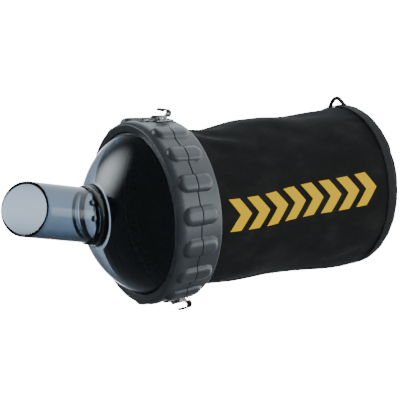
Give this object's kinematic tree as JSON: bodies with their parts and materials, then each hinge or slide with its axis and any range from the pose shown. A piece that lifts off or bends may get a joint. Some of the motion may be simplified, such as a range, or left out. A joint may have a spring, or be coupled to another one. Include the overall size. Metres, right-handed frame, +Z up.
{
  "type": "dust bag for an electric hand planer",
  "caption": "Cloth dust bag with a clear domed cover, angled spout, gripped two-part collar, two draw latches and a hanging loop.",
  "frame": {"origin": "middle of the spout's mitred mouth", "axes": "+X along the collar's axis, from the spout towards the closed end of the bag; +Z up, in the plane that holds the spout's axis; the mouth is cut back towards -Y"},
  "size_m": [0.3536, 0.1684, 0.1782],
  "materials": {
    "smoked_plastic": "clear, lightly smoked",
    "collar_plastic": "satin, fine texture",
    "rubber": "matt",
    "bag_cloth": "plain weave, matt",
    "bag_trim": "braided cord and bound seam",
    "latch_steel": "zinc plated, satin"
  },
  "bodies": {
    "dust_bag": {"inlet_spout": "smoked_plastic", "dome_cover": "smoked_plastic", "dome_gasket": "rubber", "dome_retaining_ring": "collar_plastic", "collar_seal": "rubber", "front_collar": "collar_plastic", "rear_collar": "collar_plastic", "bag_clamp_ring": "latch_steel", "bag_neck_hem": "bag_cloth", "bag_cloth": "bag_cloth", "bag_end_piping": "bag_trim", "bag_end_panel": "bag_cloth", "hanging_loop": "bag_trim", "top_latch_base": "latch_steel", "top_base_rivet_front": "latch_steel", "top_base_rivet_rear": "latch_steel", "top_pivot_rivet_left": "latch_steel", "top_pivot_rivet_right": "latch_steel", "top_latch_catch": "latch_steel", "top_catch_rivet": "latch_steel", "bottom_latch_base": "latch_steel", "bottom_base_rivet_front": "latch_steel", "bottom_base_rivet_rear": "latch_steel", "bottom_pivot_rivet_left": "latch_steel", "bottom_pivot_rivet_right": "latch_steel", "bottom_latch_catch": "latch_steel", "bottom_catch_rivet": "latch_steel"},
    "top_lever": {"top_latch_lever": "latch_steel", "top_lever_tip": "rubber"},
    "top_bail": {"top_latch_bail": "latch_steel"},
    "bottom_lever": {"bottom_latch_lever": "latch_steel", "bottom_lever_tip": "rubber"},
    "bottom_bail": {"bottom_latch_bail": "latch_steel"}
  },
  "joints": [
    {"name": "top_lever_hinge", "type": "hinge", "parent": "dust_bag", "child": "top_lever", "pos_m": [0.12734, -0.01418, 0.06374], "axis": [0, -0.9848, -0.1736], "range_deg": [0, 68]},
    {"name": "top_bail_hinge", "type": "hinge", "parent": "top_lever", "child": "top_bail", "pos_m": [0.13134, -0.01408, 0.06315], "axis": [0, -0.9848, -0.1736], "range_deg": [-78.2, 0]},
    {"name": "bottom_lever_hinge", "type": "hinge", "parent": "dust_bag", "child": "bottom_lever", "pos_m": [0.12734, -0.01418, -0.09714], "axis": [0, 0.9848, -0.1736], "range_deg": [0, 68]},
    {"name": "bottom_bail_hinge", "type": "hinge", "parent": "bottom_lever", "child": "bottom_bail", "pos_m": [0.13134, -0.01408, -0.09655], "axis": [0, 0.9848, -0.1736], "range_deg": [-78.2, 0]}
  ],
  "couplings": [
    {"joint": "top_bail_hinge", "follows": "top_lever_hinge", "ratio": -1.15},
    {"joint": "bottom_bail_hinge", "follows": "bottom_lever_hinge", "ratio": -1.15}
  ]
}
